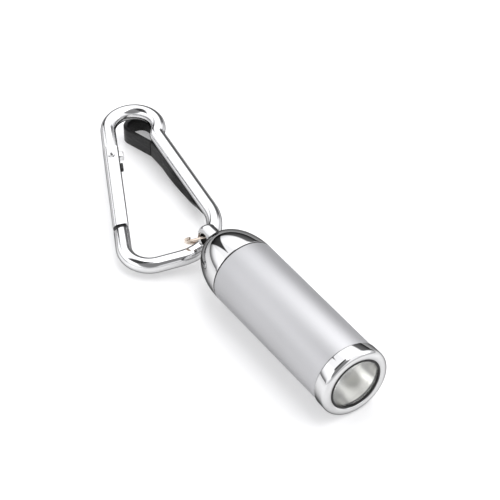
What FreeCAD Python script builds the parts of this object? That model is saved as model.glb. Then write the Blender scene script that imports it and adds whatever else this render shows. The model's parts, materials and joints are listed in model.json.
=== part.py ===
import FreeCAD, Part
import math
import os
import Sketcher

# Keychain flashlight: a short aluminium barrel with a domed tail, a twist bezel with a
# convex lens, a split ring, a sprung-gate carabiner and a narrow leather strap.
# Frame: X runs along the barrel towards the lens, Z is up.  The origin is on the barrel
# axis, at the front edge of the bezel's straight band.

doc = FreeCAD.newDocument("keychain_flashlight")
sheet = doc.addObject("Spreadsheet::Sheet", "Sizes")

SIZES = [
    # barrel
    ("barrel_dia", 20.0), ("barrel_len", 47.2), ("barrel_bore", 18.0), ("edge_break", 0.25),
    ("front_bore", 18.4), ("front_bore_len", 8.0), ("front_gap", 0.3),
    # bezel, lens and its gasket
    ("bezel_dia", 20.6), ("bezel_band", 3.2), ("lip_len", 1.2), ("lip_round", 1.0),
    ("lip_bore", 15.4), ("lip_depth", 2.1), ("bezel_bore", 15.8), ("spigot_len", 6.5),
    ("thread_clear", 0.08), ("fit_clear", 0.05), ("groove_len", 1.0), ("groove_depth", 0.7),
    ("gasket_wall", 0.5), ("gasket_proud", 1.9), ("lens_crown", 0.65), ("lens_flange", 1.4),
    ("lens_inset", 1.4),
    # lamp unit
    ("reflector_len", 7.0), ("reflector_wall", 0.6), ("reflector_throat", 6.0),
    ("reflector_rake", 0.24),
    ("board_thick", 1.0), ("led_dia", 5.0), ("led_flange", 5.8),
    ("led_flange_len", 1.0), ("led_len", 5.4), ("holder_floor", 2.6), ("holder_wall", 1.13),
    ("holder_clear", 0.12), ("contact_dia", 2.6), ("contact_proud", 0.6), ("contact_travel", 0.2),
    ("floor_hole", 4.0),
    # cells, their sleeve, spring and plate
    ("cell_dia", 11.6), ("cell_len", 5.4), ("cell_cap_dia", 8.4), ("cell_cap_len", 0.8),
    ("cell_clear", 0.15), ("cell_count", 4.0), ("sleeve_gap", 0.5), ("sleeve_tail", 1.2),
    ("spring_wire", 0.7), ("spring_dia", 8.4), ("spring_pitch", 2.1), ("coil_steps", 36.0),
    ("plate_thick", 0.4), ("plate_inset", 1.2),
    # domed tail cap with its lug
    ("dome_len", 15.5), ("dome_end_wall", 4.2), ("tail_spigot_len", 6.5),
    ("tail_spigot_wall", 1.6), ("gasket_thick", 0.4), ("gasket_inset", 0.15),
    ("oring_section", 1.0), ("oring_groove", 1.3), ("head_oring_section", 0.7),
    ("lug_radius", 3.6), ("lug_thick", 3.8), ("lug_len", 4.7), ("lug_sunk", 3.1),
    ("lug_end_round", 1.98), ("lug_round", 0.5), ("lug_roll", 6.0),
    ("lug_hole", 3.7), ("lug_hole_back", 2.9), ("lug_hole_chamfer", 0.6),
    # split ring: its room beside the bar, which way it hangs from the lug's hole, how it lies
    ("ring_room", 8.17), ("ring_wire", 0.8), ("ring_height", 1.4), ("ring_slack", 0.2991),
    ("ring_back", 3.7), ("ring_side", 1.69), ("ring_down", 4.46),
    ("ring_lean_x", 0.6256), ("ring_lean_y", -0.3826), ("ring_lean_z", -0.6799),
    ("ring_open", 60.0), ("ring_split", 0.04), ("ring_roll", 200.0), ("ring_steps", 180.0),
    # carabiner outline, in its own plane; its first axis runs from the wide end to the head
    ("bar_dia", 4.5), ("head_along", 49.1), ("head_across", -19.4), ("head_radius", 7.4),
    ("nose_along", 8.4), ("nose_across", 20.55), ("nose_bend", 7.6),
    ("wide_along", -5.71), ("wide_across", -7.62), ("wide_bend", 13.5),
    ("spine_offset", 5.15), ("kink_bend", 3.0),
    # where the carabiner lies: from the lug's hole, less the half bar it gives way for
    ("clip_back", 3.1807), ("clip_side", -0.78), ("clip_down", 4.6673),
    ("clip_yaw", 11.0), ("clip_pitch", 3.2), ("clip_roll", 4.6),
    # gate, its hinge and its spring
    ("arm_len", 8.6), ("pivot_back", 4.4), ("gate_reach", 27.9), ("gate_slant", 8.0),
    ("nose_gap", 1.0), ("web_thick", 0.65), ("slot_width", 2.3), ("tongue_thick", 2.0),
    ("tongue_radius", 1.45), ("pin_dia", 1.4), ("pin_clear", 0.04), ("hinge_clear", 0.15),
    ("leaf_thick", 0.3), ("leaf_width", 1.6), ("leaf_len", 10.0), ("leaf_top", 0.48),
    ("nib_size", 0.9), ("nib_back", 2.7), ("nib_rise", 0.63), ("nib_side", 0.54),
    # strap
    ("strap_width", 5.0), ("strap_thick", 1.1), ("strap_gap", 0.25), ("strap_room", 0.8237),
    ("neck_back", 45.84), ("neck_side", 12.9), ("eye_len", 13.6), ("eye_width", 8.0),
    ("eye_lean", 1.4), ("eye_point", 1.2), ("eye_pinch", 1.6), ("tail_overlap", 0.4),
    ("tab_radius", 1.5), ("rivet_dia", 1.4), ("rivet_head", 2.6), ("rivet_head_len", 0.4),
]
for row, (alias, value) in enumerate(SIZES, start=1):
    sheet.set("A%d" % row, alias)
    sheet.set("B%d" % row, "%g" % value)
    sheet.setAlias("B%d" % row, alias)
doc.recompute()

PARTS = []
TOUCH = 1e-4  # nearer than this is taken as touching
FULL_TURN = 360.0


class Size:
    """A length that knows both its number and the expression that drives it."""

    def __init__(self, text, value):
        self.text = text
        self.value = value

    def join(self, sign, other, value):
        other_text = other.text if isinstance(other, Size) else "%g" % other
        return Size("(%s %s %s)" % (self.text, sign, other_text), value)

    def __add__(self, other):
        return self.join("+", other, self.value + number(other))

    def __sub__(self, other):
        return self.join("-", other, self.value - number(other))

    def __mul__(self, other):
        return self.join("*", other, self.value * number(other))

    def __truediv__(self, other):
        return self.join("/", other, self.value / number(other))

    def __neg__(self):
        return Size("(0 - %s)" % self.text, -self.value)


def number(size):
    return size.value if isinstance(size, Size) else float(size)


def cell(alias):
    return Size("Sizes.%s" % alias, float(sheet.get(alias)))


def mm(alias):
    return float(sheet.get(alias))


ZERO = Size("0", 0.0)


def part(shape_object, label):
    shape_object.Label = label
    PARTS.append(shape_object)
    return shape_object


def plane_of(body, role):
    return next(f for f in body.Origin.OriginFeatures if f.Role == role)


def sketch_polygon(body, role, points, name):
    """A closed outline on one of the body's own planes, with each corner bound to the sheet."""
    sketch = body.newObject("Sketcher::SketchObject", name)
    sketch.AttachmentSupport = [(plane_of(body, role), "")]
    sketch.MapMode = "FlatFace"
    count = len(points)
    for index in range(count):
        first = points[index]
        last = points[(index + 1) % count]
        start = FreeCAD.Vector(number(first[0]), number(first[1]), 0)
        end = FreeCAD.Vector(number(last[0]), number(last[1]), 0)
        sketch.addGeometry(Part.LineSegment(start, end), False)
    for index in range(count):
        follower = (index + 1) % count
        sketch.addConstraint(Sketcher.Constraint("Coincident", index, 2, follower, 1))
    for index, (along, up) in enumerate(points):
        for kind, size, axis in (("DistanceX", along, -2), ("DistanceY", up, -1)):
            if abs(number(size)) < TOUCH:
                sketch.addConstraint(Sketcher.Constraint("PointOnObject", index, 1, axis))
                continue
            rule = Sketcher.Constraint(kind, -1, 1, index, 1, number(size))
            place = sketch.addConstraint(rule)
            sketch.setExpression("Constraints[%d]" % place, size.text)
    return sketch


def turned(label, points):
    """A piece turned on the barrel axis, from its half profile (x, radius)."""
    body = doc.addObject("PartDesign::Body", label)
    sketch = sketch_polygon(body, "XZ_Plane", points, label + "_profile")
    turn = body.newObject("PartDesign::Revolution", label + "_turn")
    turn.Profile = sketch
    turn.ReferenceAxis = (sketch, ["H_Axis"])
    turn.Angle = FULL_TURN
    return part(body, label)


def add(kind, name, **sizes):
    """A Part primitive whose sizes are bound to the sheet."""
    primitive = doc.addObject(kind, name)
    for field, size in sizes.items():
        if isinstance(size, Size):
            primitive.setExpression(field, size.text)
        else:
            setattr(primitive, field, size)
    return primitive


def place(thing, x=ZERO, y=ZERO, z=ZERO, turn=None):
    """Put a primitive at a bound position, turned by a fixed rotation."""
    if turn is not None:
        thing.Placement = FreeCAD.Placement(FreeCAD.Vector(0, 0, 0), turn)
    for axis, size in (("x", x), ("y", y), ("z", z)):
        thing.setExpression("Placement.Base.%s" % axis, size.text)
    return thing


X_AXIS = FreeCAD.Vector(1, 0, 0)
Y_AXIS = FreeCAD.Vector(0, 1, 0)
Z_AXIS = FreeCAD.Vector(0, 0, 1)
TO_X = FreeCAD.Rotation(Z_AXIS, X_AXIS)

# ---------------------------------------------------------------- stations along the barrel
front_seam = -cell("bezel_band")
barrel_front = front_seam - cell("front_gap")
barrel_back = barrel_front - cell("barrel_len")
dome_front = barrel_back - cell("gasket_thick")
spigot_end = front_seam - cell("spigot_len")
lip_step = cell("lip_len") - cell("lip_depth")
flange_back = lip_step - cell("lens_flange")
reflector_front = flange_back - cell("fit_clear")
reflector_back = reflector_front - cell("reflector_len")
board_back = reflector_back - cell("board_thick")
holder_back = board_back - cell("holder_floor")
contact_tip = holder_back - cell("contact_proud")
stack_front = contact_tip - cell("contact_travel")
stack_back = stack_front - cell("cell_len") * cell("cell_count")

# ---------------------------------------------------------------- barrel tube
barrel_r = cell("barrel_dia") / 2
bore_r = cell("barrel_bore") / 2
front_bore_r = cell("front_bore") / 2
break_size = cell("edge_break")
turned("barrel_tube", [
    (barrel_back, bore_r), (barrel_front - cell("front_bore_len"), bore_r),
    (barrel_front - cell("front_bore_len"), front_bore_r), (barrel_front, front_bore_r),
    (barrel_front, barrel_r - break_size), (barrel_front - break_size, barrel_r),
    (barrel_back + break_size, barrel_r), (barrel_back, barrel_r - break_size)])

# ---------------------------------------------------------------- bezel
spigot_r = front_bore_r - cell("thread_clear")
bezel_r = cell("bezel_dia") / 2
lip_bore_r = cell("lip_bore") / 2
bezel_bore_r = cell("bezel_bore") / 2
groove_front = front_seam - cell("groove_len")
groove_back = groove_front - cell("groove_len")
groove_r = spigot_r - cell("groove_depth")
bezel = turned("bezel", [
    (cell("lip_len"), lip_bore_r), (lip_step, lip_bore_r), (lip_step, bezel_bore_r),
    (spigot_end, bezel_bore_r), (spigot_end, spigot_r), (groove_back, spigot_r),
    (groove_back, groove_r), (groove_front, groove_r), (groove_front, spigot_r),
    (front_seam, spigot_r), (front_seam, bezel_r), (cell("lip_len"), bezel_r)])
doc.recompute()


def round_edges(body, name, size, wanted):
    """Fillet the circular edges of the body's tip that the test picks out."""
    tip = body.Tip
    names = ["Edge%d" % (i + 1) for i, e in enumerate(tip.Shape.Edges) if wanted(e)]
    fillet = body.newObject("PartDesign::Fillet", name)
    fillet.Base = (tip, names)
    fillet.setExpression("Radius", size.text)
    doc.recompute()
    return fillet


def rim_at(x, radius):
    def wanted(edge):
        curve = edge.Curve
        if not isinstance(curve, Part.Circle):
            return False
        return abs(curve.Center.x - x) < TOUCH and abs(curve.Radius - radius) < TOUCH
    return wanted


round_edges(bezel, "bezel_lip_round", cell("lip_round"), rim_at(mm("lip_len"), number(bezel_r)))

# ---------------------------------------------------------------- lens, its gasket, O-ring
gasket_in_r = lip_bore_r - cell("gasket_wall")
turned("lens_gasket", [
    (lip_step, gasket_in_r), (lip_step + cell("gasket_proud"), gasket_in_r),
    (lip_step + cell("gasket_proud"), lip_bore_r), (lip_step, lip_bore_r)])

lens_front = lip_step + cell("lens_inset")
lens_core = add("Part::Cylinder", "lens_core", Radius=gasket_in_r, Height=lens_front - lip_step)
place(lens_core, x=lip_step, turn=TO_X)
lens_rim = add("Part::Cylinder", "lens_rim", Radius=bezel_bore_r - cell("fit_clear"),
               Height=cell("lens_flange"))
place(lens_rim, x=flange_back, turn=TO_X)
lens_cap = add("Part::Ellipsoid", "lens_cap", Radius1=cell("lens_crown"), Radius2=gasket_in_r,
               Radius3=gasket_in_r, Angle1=0.0, Angle2=90.0)
place(lens_cap, x=lens_front, turn=TO_X)
lens = doc.addObject("Part::MultiFuse", "lens")
lens.Shapes = [lens_core, lens_rim, lens_cap]
part(lens, "lens")

head_ring_r = cell("head_oring_section") / 2
head_oring = add("Part::Torus", "head_oring", Radius1=groove_r + head_ring_r, Radius2=head_ring_r)
place(head_oring, x=(groove_front + groove_back) / 2, turn=TO_X)
part(head_oring, "head_oring")

# ---------------------------------------------------------------- reflector and lamp
reflector_r = bezel_bore_r - cell("holder_clear")
throat_r = cell("reflector_throat") / 2
wall = cell("reflector_wall")
rim_back = reflector_front - wall
# the bowl's curve between throat and rim, as shares of its depth and of its rise
BOWL = [(0.12, 0.38), (0.30, 0.62), (0.60, 0.85)]
bowl_len = cell("reflector_len") - wall
bowl_rise = reflector_r - wall - throat_r
profile = [(reflector_back, throat_r)]
for along, share in BOWL:
    profile.append((reflector_back + bowl_len * along, throat_r + bowl_rise * share))
profile += [(reflector_front, reflector_r - wall), (reflector_front, reflector_r),
            (rim_back, reflector_r)]
for along, share in reversed(BOWL):
    profile.append((reflector_back + bowl_len * along - cell("reflector_rake"),
                    throat_r + bowl_rise * share + wall))
profile.append((reflector_back, throat_r + wall))
turned("reflector", profile)

holder_r = bore_r - cell("holder_clear")
board_r = holder_r - cell("holder_wall")
turned("led_board", [(board_back, ZERO), (reflector_back, ZERO), (reflector_back, board_r),
                     (board_back, board_r)])

led_r = cell("led_dia") / 2
led_flange = add("Part::Cylinder", "led_flange_disc", Radius=cell("led_flange") / 2,
                 Height=cell("led_flange_len"))
place(led_flange, x=reflector_back, turn=TO_X)
led_stem = add("Part::Cylinder", "led_stem", Radius=led_r, Height=cell("led_len") - led_r)
place(led_stem, x=reflector_back, turn=TO_X)
led_tip = add("Part::Sphere", "led_tip", Radius=led_r)
place(led_tip, x=reflector_back + cell("led_len") - led_r, turn=TO_X)
led = doc.addObject("Part::MultiFuse", "led_emitter")
led.Shapes = [led_flange, led_stem, led_tip]
part(led, "led_emitter")

holder_mouth = spigot_end - cell("holder_clear")
hole_r = cell("floor_hole") / 2
turned("lamp_holder", [
    (holder_back, hole_r), (board_back, hole_r), (board_back, board_r),
    (holder_mouth, board_r), (holder_mouth, holder_r), (holder_back, holder_r)])

contact_r = cell("contact_dia") / 2
turned("board_contact", [(contact_tip, ZERO), (board_back, ZERO), (board_back, contact_r),
                         (contact_tip + break_size, contact_r),
                         (contact_tip, contact_r - break_size)])

# ---------------------------------------------------------------- cells and their sleeve
cell_r = cell("cell_dia") / 2
cap_r = cell("cell_cap_dia") / 2
sleeve_front = holder_back - cell("sleeve_gap")
sleeve_back = stack_back - cell("sleeve_tail")
turned("battery_sleeve", [
    (sleeve_back, cell_r + cell("cell_clear")), (sleeve_front, cell_r + cell("cell_clear")),
    (sleeve_front, holder_r), (sleeve_back, holder_r)])
for index in range(int(mm("cell_count"))):
    front = stack_front - cell("cell_len") * index
    back = front - cell("cell_len")
    shoulder = back + cell("cell_cap_len")
    turned("cell_%d" % (index + 1), [
        (back, ZERO), (front, ZERO), (front, cell_r - break_size), (front - break_size, cell_r),
        (shoulder, cell_r), (shoulder, cap_r), (back, cap_r)])

# ---------------------------------------------------------------- tail plate and spring
tail_spigot_end = barrel_back + cell("tail_spigot_len")
tail_spigot_r = bore_r - cell("fit_clear")
tail_bore_r = tail_spigot_r - cell("tail_spigot_wall")
plate_front = tail_spigot_end - cell("plate_inset")
turned("tail_plate", [
    (plate_front - cell("plate_thick"), ZERO), (plate_front, ZERO), (plate_front, tail_bore_r),
    (plate_front - cell("plate_thick"), tail_bore_r)])

wire_r = mm("spring_wire") / 2
spring_start = number(plate_front) + wire_r
spring_length = number(stack_back) - spring_start - wire_r
spring_turns = spring_length / mm("spring_pitch")
coil_steps = int(spring_turns * mm("coil_steps"))
coil_points = []
for index in range(coil_steps + 1):
    share = index / coil_steps
    spot = FreeCAD.Vector(mm("spring_dia") / 2, 0, spring_length * share)
    coil_points.append(FreeCAD.Rotation(Z_AXIS, FULL_TURN * spring_turns * share).multVec(spot))
coil_curve = Part.BSplineCurve()
coil_curve.interpolate(coil_points)
coil_start = coil_curve.tangent(coil_curve.FirstParameter)[0]
section = Part.Wire([Part.makeCircle(wire_r, coil_points[0], coil_start)])
coil = Part.BRepOffsetAPI.MakePipeShell(Part.Wire(coil_curve.toShape()))
coil.setBiNormalMode(Z_AXIS)
coil.add(section)
coil.build()
coil.makeSolid()
tail_spring = doc.addObject("Part::Feature", "tail_spring")
tail_spring.Shape = coil.shape()
tail_spring.Placement = FreeCAD.Placement(FreeCAD.Vector(spring_start, 0, 0), TO_X)
part(tail_spring, "tail_spring")

# ---------------------------------------------------------------- tail gasket and O-ring
turned("tail_gasket", [
    (dome_front, tail_spigot_r), (barrel_back, tail_spigot_r),
    (barrel_back, barrel_r - cell("gasket_inset")), (dome_front, barrel_r - cell("gasket_inset"))])

tail_ring_r = cell("oring_section") / 2
tail_groove_front = barrel_back + cell("tail_spigot_len") / 2
tail_groove_back = tail_groove_front - cell("oring_groove")
tail_groove_r = tail_spigot_r - cell("oring_section")
tail_oring = add("Part::Torus", "tail_oring", Radius1=tail_groove_r + tail_ring_r,
                 Radius2=tail_ring_r)
place(tail_oring, x=(tail_groove_front + tail_groove_back) / 2, turn=TO_X)
part(tail_oring, "tail_oring")

# ---------------------------------------------------------------- domed tail cap with lug
TO_BACK = FreeCAD.Rotation(Z_AXIS, -X_AXIS)
dome_outside = add("Part::Ellipsoid", "dome_outside", Radius1=cell("dome_len"), Radius2=barrel_r,
                   Radius3=barrel_r, Angle1=0.0, Angle2=90.0)
place(dome_outside, x=dome_front, turn=TO_BACK)
dome_inside = add("Part::Ellipsoid", "dome_inside", Radius1=cell("dome_len") - cell("dome_end_wall"),
                  Radius2=tail_bore_r, Radius3=tail_bore_r, Angle1=0.0, Angle2=90.0)
place(dome_inside, x=dome_front, turn=TO_BACK)
spigot = add("Part::Cylinder", "tail_spigot", Radius=tail_spigot_r,
             Height=tail_spigot_end - dome_front)
place(spigot, x=dome_front, turn=TO_X)
spigot_bore = add("Part::Cylinder", "tail_spigot_bore", Radius=tail_bore_r,
                  Height=tail_spigot_end - dome_front)
place(spigot_bore, x=dome_front, turn=TO_X)
groove_outer = add("Part::Cylinder", "tail_groove_outer", Radius=bore_r,
                   Height=tail_groove_front - tail_groove_back)
place(groove_outer, x=tail_groove_back, turn=TO_X)
groove_inner = add("Part::Cylinder", "tail_groove_inner", Radius=tail_groove_r,
                   Height=tail_groove_front - tail_groove_back)
place(groove_inner, x=tail_groove_back, turn=TO_X)
groove = doc.addObject("Part::Cut", "tail_groove")
groove.Base = groove_outer
groove.Tool = groove_inner

dome_end = dome_front - cell("dome_len")
lug_tip = dome_end - cell("lug_len")
lug_root = dome_end + cell("lug_sunk")
doc.recompute()

tail_cap = doc.addObject("Part::Feature", "tail_cap")


def lug_shape():
    """The lug: a round stub rounded at its end, flattened on two sides and cross-drilled."""
    radius = mm("lug_radius")
    tip = number(lug_tip)
    root = number(lug_root)
    rod = Part.makeCylinder(radius, root - tip, FreeCAD.Vector(tip, 0, 0), X_AXIS)
    rims = [e for e in rod.Edges if rim_at(tip, radius)(e)]
    rod = rod.makeFillet(min(mm("lug_end_round"), radius - TOUCH), rims)
    slab = Part.makeBox(root - tip, mm("lug_thick"), radius * 4,
                        FreeCAD.Vector(tip, -mm("lug_thick") / 2, -radius * 2))
    stub = rod.common(slab)
    sharp = [e for e in stub.Edges if is_flat_edge(e, mm("lug_thick") / 2)]
    stub = stub.makeFillet(mm("lug_round"), sharp)
    middle = FreeCAD.Vector(tip + mm("lug_hole_back"), 0, 0)
    hole_radius = mm("lug_hole") / 2
    start = middle - Y_AXIS * radius * 2
    stub = stub.cut(Part.makeCylinder(hole_radius, radius * 4, start, Y_AXIS))
    chamfer = mm("lug_hole_chamfer")
    for side in (-1, 1):
        mouth = middle + Y_AXIS * (side * mm("lug_thick") / 2)
        cone = Part.makeCone(hole_radius, hole_radius + chamfer, chamfer,
                             mouth - Y_AXIS * (side * chamfer), Y_AXIS * side)
        stub = stub.cut(cone)
    stub.rotate(FreeCAD.Vector(0, 0, 0), X_AXIS, -mm("lug_roll"))
    return stub


def is_flat_edge(edge, half):
    """True for an edge that lies in one of the lug's two flats."""
    spots = edge.discretize(Number=4)
    on_flat = all(abs(abs(spot.y) - half) < TOUCH for spot in spots)
    inside_dome = all(abs(spot.x - number(lug_root)) < TOUCH for spot in spots)
    return on_flat and not inside_dome


cap = dome_outside.Shape.fuse(spigot.Shape).fuse(lug_shape())
cap = cap.cut(dome_inside.Shape).cut(spigot_bore.Shape).cut(groove.Shape)
tail_cap.Shape = cap.removeSplitter()
part(tail_cap, "tail_cap")

# ---------------------------------------------------------------- carabiner outline
# Worked out in the carabiner's own plane: "along" runs from its wide end to its head,
# "across" runs from the spine to the gate.


def flat(along, across):
    return FreeCAD.Vector(along, across, 0)


def side_of(direction):
    """The direction turned a quarter turn to the left."""
    return flat(-direction.y, direction.x)


def tangent_touch(point, centre, radius, side):
    """Where a line from the point touches a circle, on the given side of the centre."""
    reach = centre - point
    span = math.sqrt(reach.Length ** 2 - radius ** 2)
    turn = math.atan2(radius, span) * side
    heading = math.atan2(reach.y, reach.x) + turn
    return point + flat(math.cos(heading), math.sin(heading)) * span


def rounded_corner(before, corner, after, radius):
    """Start, middle and end of the arc that rounds a corner."""
    to_before = (before - corner).normalize()
    to_after = (after - corner).normalize()
    half = to_before.getAngle(to_after) / 2
    reach = radius / math.tan(half)
    bisector = (to_before + to_after).normalize()
    centre = corner + bisector * (radius / math.sin(half))
    return corner + to_before * reach, centre - bisector * radius, corner + to_after * reach


head = flat(mm("head_along"), mm("head_across"))
nose_corner = flat(mm("nose_along"), mm("nose_across"))
wide_corner = flat(mm("wide_along"), mm("wide_across"))
head_radius = mm("head_radius")
bar_r = mm("bar_dia") / 2

gate_touch = tangent_touch(nose_corner, head, head_radius, 1)
gate_line = (nose_corner - gate_touch).normalize()
inward = side_of(gate_line) * -1
if inward * (wide_corner - gate_touch) < 0:
    inward = inward * -1
arm_end = gate_touch + gate_line * mm("arm_len")
pivot = arm_end + gate_line * mm("pivot_back")
gate_end = pivot + gate_line * mm("gate_reach")
nose_start = gate_end + gate_line * mm("nose_gap")

foot = tangent_touch(wide_corner, head, mm("spine_offset"), -1)
spine_line = (foot - wide_corner).normalize()
outward = (foot - head).normalize()
kink = mm("kink_bend")
kink_drop = math.sqrt((head_radius + kink) ** 2 - (mm("spine_offset") + kink) ** 2)
kink_centre = foot + outward * kink - spine_line * kink_drop
kink_low = foot - spine_line * kink_drop
kink_high = head + (kink_centre - head) * (head_radius / (head_radius + kink))
kink_mid = kink_centre + ((kink_low + kink_high) * 0.5 - kink_centre).normalize() * kink
head_mid = head + (head - (gate_touch + kink_high) * 0.5).normalize() * head_radius

nose_bend = rounded_corner(nose_start, nose_corner, wide_corner, mm("nose_bend"))
wide_bend = rounded_corner(nose_corner, wide_corner, kink_low, mm("wide_bend"))

outline = Part.Wire([
    Part.LineSegment(arm_end, gate_touch).toShape(),
    Part.Arc(gate_touch, head_mid, kink_high).toShape(),
    Part.Arc(kink_high, kink_mid, kink_low).toShape(),
    Part.LineSegment(kink_low, wide_bend[2]).toShape(),
    Part.Arc(wide_bend[2], wide_bend[1], wide_bend[0]).toShape(),
    Part.LineSegment(wide_bend[0], nose_bend[2]).toShape(),
    Part.Arc(nose_bend[2], nose_bend[1], nose_bend[0]).toShape(),
    Part.LineSegment(nose_bend[0], nose_start - gate_line * mm("nose_gap")).toShape()])

# The ring hangs from the lug's hole, and the carabiner hangs in the ring, so both move away
# from the hole when the bar grows.
hole_middle = FreeCAD.Vector(number(lug_tip) + mm("lug_hole_back"), 0, 0)
hanging = FreeCAD.Vector(-mm("ring_back"), mm("ring_side"), -mm("ring_down")).normalize()
clip_offset = FreeCAD.Vector(-mm("clip_back"), mm("clip_side"), -mm("clip_down"))
clip_place = FreeCAD.Placement(
    hole_middle + clip_offset + hanging * bar_r,
    FreeCAD.Rotation(Z_AXIS, 180 + mm("clip_yaw"))
    * FreeCAD.Rotation(Y_AXIS, -mm("clip_pitch"))
    * FreeCAD.Rotation(X_AXIS, -mm("clip_roll")))


def clip_part(label, shape):
    """A piece made in the carabiner's own plane, then put in its place."""
    feature = doc.addObject("Part::Feature", label)
    feature.Shape = shape
    feature.Placement = clip_place.multiply(shape.Placement)
    return part(feature, label)


def on_gate_line(origin):
    """The placement of the gate's frame: X along the gate, Y inwards, Z up."""
    return FreeCAD.Placement(FreeCAD.Matrix(
        gate_line.x, inward.x, 0, origin.x,
        gate_line.y, inward.y, 0, origin.y,
        0, 0, 1, 0,
        0, 0, 0, 1))


def box(low, high):
    """A plain box between two corners."""
    size = high - low
    return Part.makeBox(size.x, size.y, size.z, low)


def upright(radius, height):
    """A cylinder along Z, centred on the origin."""
    return Part.makeCylinder(radius, height, FreeCAD.Vector(0, 0, -height / 2))


def placed(shape, placement):
    """A copy of the shape with the placement applied on top of its own."""
    copy = shape.copy()
    copy.Placement = placement.multiply(copy.Placement)
    return copy


far = mm("bar_dia") * 2
gate_place = on_gate_line(pivot)

# ---------------------------------------------------------------- carabiner body
# One bent round bar with a flat tongue for the hinge and a leaning face at the latch.
bar_section = Part.Wire([Part.makeCircle(bar_r, arm_end, gate_line)])
bar = outline.makePipeShell([bar_section], True, True)

reach = mm("gate_reach")
nose_cut = box(FreeCAD.Vector(-reach, -far, -far), FreeCAD.Vector(0, far, far))
nose_cut.rotate(FreeCAD.Vector(0, 0, 0), Z_AXIS, mm("gate_slant"))
nose_cut.translate(FreeCAD.Vector(reach + mm("nose_gap"), 0, 0))
nose_zone = box(FreeCAD.Vector(reach / 2, -far, -far), FreeCAD.Vector(reach + far, far, far))
bar = bar.cut(placed(nose_cut.common(nose_zone), gate_place))

tongue_r = mm("tongue_radius")
tongue_t = mm("tongue_thick")
tongue = box(FreeCAD.Vector(-mm("pivot_back") - bar_r / 2, -tongue_r, -tongue_t / 2),
             FreeCAD.Vector(0, tongue_r, tongue_t / 2)).fuse(upright(tongue_r, tongue_t))
pin_r = mm("pin_dia") / 2
tongue = tongue.cut(upright(pin_r + mm("pin_clear"), tongue_t * 2))
body = bar.fuse(placed(tongue, gate_place))


def clip_point(x, y):
    """The height of the bar's centre plane above a spot of the floor plan."""
    normal = clip_place.Rotation.multVec(Z_AXIS)
    base = clip_place.Base
    return base.z - (normal.x * (x - base.x) + normal.y * (y - base.y)) / normal.z


# The strap's rivet goes up into the spine just before the wide bend.
rivet_spot = clip_place.multVec(wide_bend[2] + spine_line * bar_r)
rivet_x = rivet_spot.x
rivet_y = rivet_spot.y
rivet_top = clip_point(rivet_x, rivet_y)
rivet_r = mm("rivet_dia") / 2
strap_under = rivet_top - bar_r - mm("strap_thick") - mm("strap_gap")
rivet_shank = Part.makeCylinder(rivet_r, rivet_top - strap_under,
                                FreeCAD.Vector(rivet_x, rivet_y, strap_under))
body = body.cut(placed(rivet_shank, clip_place.inverse()))
clip_part("carabiner_body", body.removeSplitter())

# ---------------------------------------------------------------- gate, pin and leaf spring
hinge_end = mm("pivot_back") - mm("hinge_clear")
gate = Part.makeCylinder(bar_r, hinge_end + reach + bar_r, FreeCAD.Vector(-hinge_end, 0, 0), X_AXIS)
hinge_sweep = upright(hinge_end, far).fuse(
    box(FreeCAD.Vector(0, -far, -far), FreeCAD.Vector(reach + far, far, far)))
gate = gate.common(hinge_sweep)
slot_half = mm("slot_width") / 2
slot_floor = -(bar_r - mm("web_thick"))
gate = gate.cut(box(FreeCAD.Vector(-far, slot_floor, -slot_half),
                    FreeCAD.Vector(reach + far, far, slot_half)))
end_cut = box(FreeCAD.Vector(0, -far, -far), FreeCAD.Vector(far, far, far))
end_cut.rotate(FreeCAD.Vector(0, 0, 0), Z_AXIS, mm("gate_slant"))
end_cut.translate(FreeCAD.Vector(reach, 0, 0))
gate = gate.cut(end_cut)
gate = gate.cut(upright(pin_r, far))
nib = mm("nib_size")
nib_start = reach - mm("nib_back")
wall_top = math.sqrt(bar_r ** 2 - slot_half ** 2)
gate = gate.fuse(box(FreeCAD.Vector(nib_start, wall_top - nib, slot_half),
                     FreeCAD.Vector(nib_start + nib, wall_top + mm("nib_rise"),
                                    slot_half + mm("nib_side"))))
clip_part("carabiner_gate", placed(gate.removeSplitter(), gate_place))

pin_half = math.sqrt(bar_r ** 2 - pin_r ** 2)
clip_part("gate_pin", placed(upright(pin_r, pin_half * 2), gate_place))

leaf = mm("leaf_thick")
leaf_half = mm("leaf_width") / 2
leaf_front = tongue_r + mm("hinge_clear")
leaf_strip = box(FreeCAD.Vector(leaf_front, slot_floor, -leaf_half),
                 FreeCAD.Vector(leaf_front + mm("leaf_len"), slot_floor + leaf, leaf_half))
leaf_rise = box(FreeCAD.Vector(leaf_front, slot_floor, -leaf_half),
                FreeCAD.Vector(leaf_front + leaf, mm("leaf_top"), leaf_half))
clip_part("gate_spring", placed(leaf_strip.fuse(leaf_rise).removeSplitter(), gate_place))

# ---------------------------------------------------------------- split ring
# Two turns of wire through the lug's hole and round the carabiner's wide bend.
ring_r = (mm("bar_dia") + mm("ring_room")) / 2
ring_wire = mm("ring_wire")
ring_rise = mm("ring_height") / 2
ring_middle = hole_middle + hanging * (ring_r - mm("ring_slack"))
ring_normal = FreeCAD.Vector(mm("ring_lean_x"), mm("ring_lean_y"), mm("ring_lean_z")).normalize()
ring_open = mm("ring_open")
ring_layer = ring_rise + mm("ring_split") / 2
ring_thick = ring_rise - mm("ring_split") / 2


def ring_height_at(angle):
    """The lower layer, then a smooth step over the open part, then the upper layer."""
    share = min(1.0, max(0.0, (angle - FULL_TURN + ring_open) / ring_open))
    return ring_layer * (0.5 - math.cos(math.pi * share) / 2) - ring_layer / 2


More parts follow.
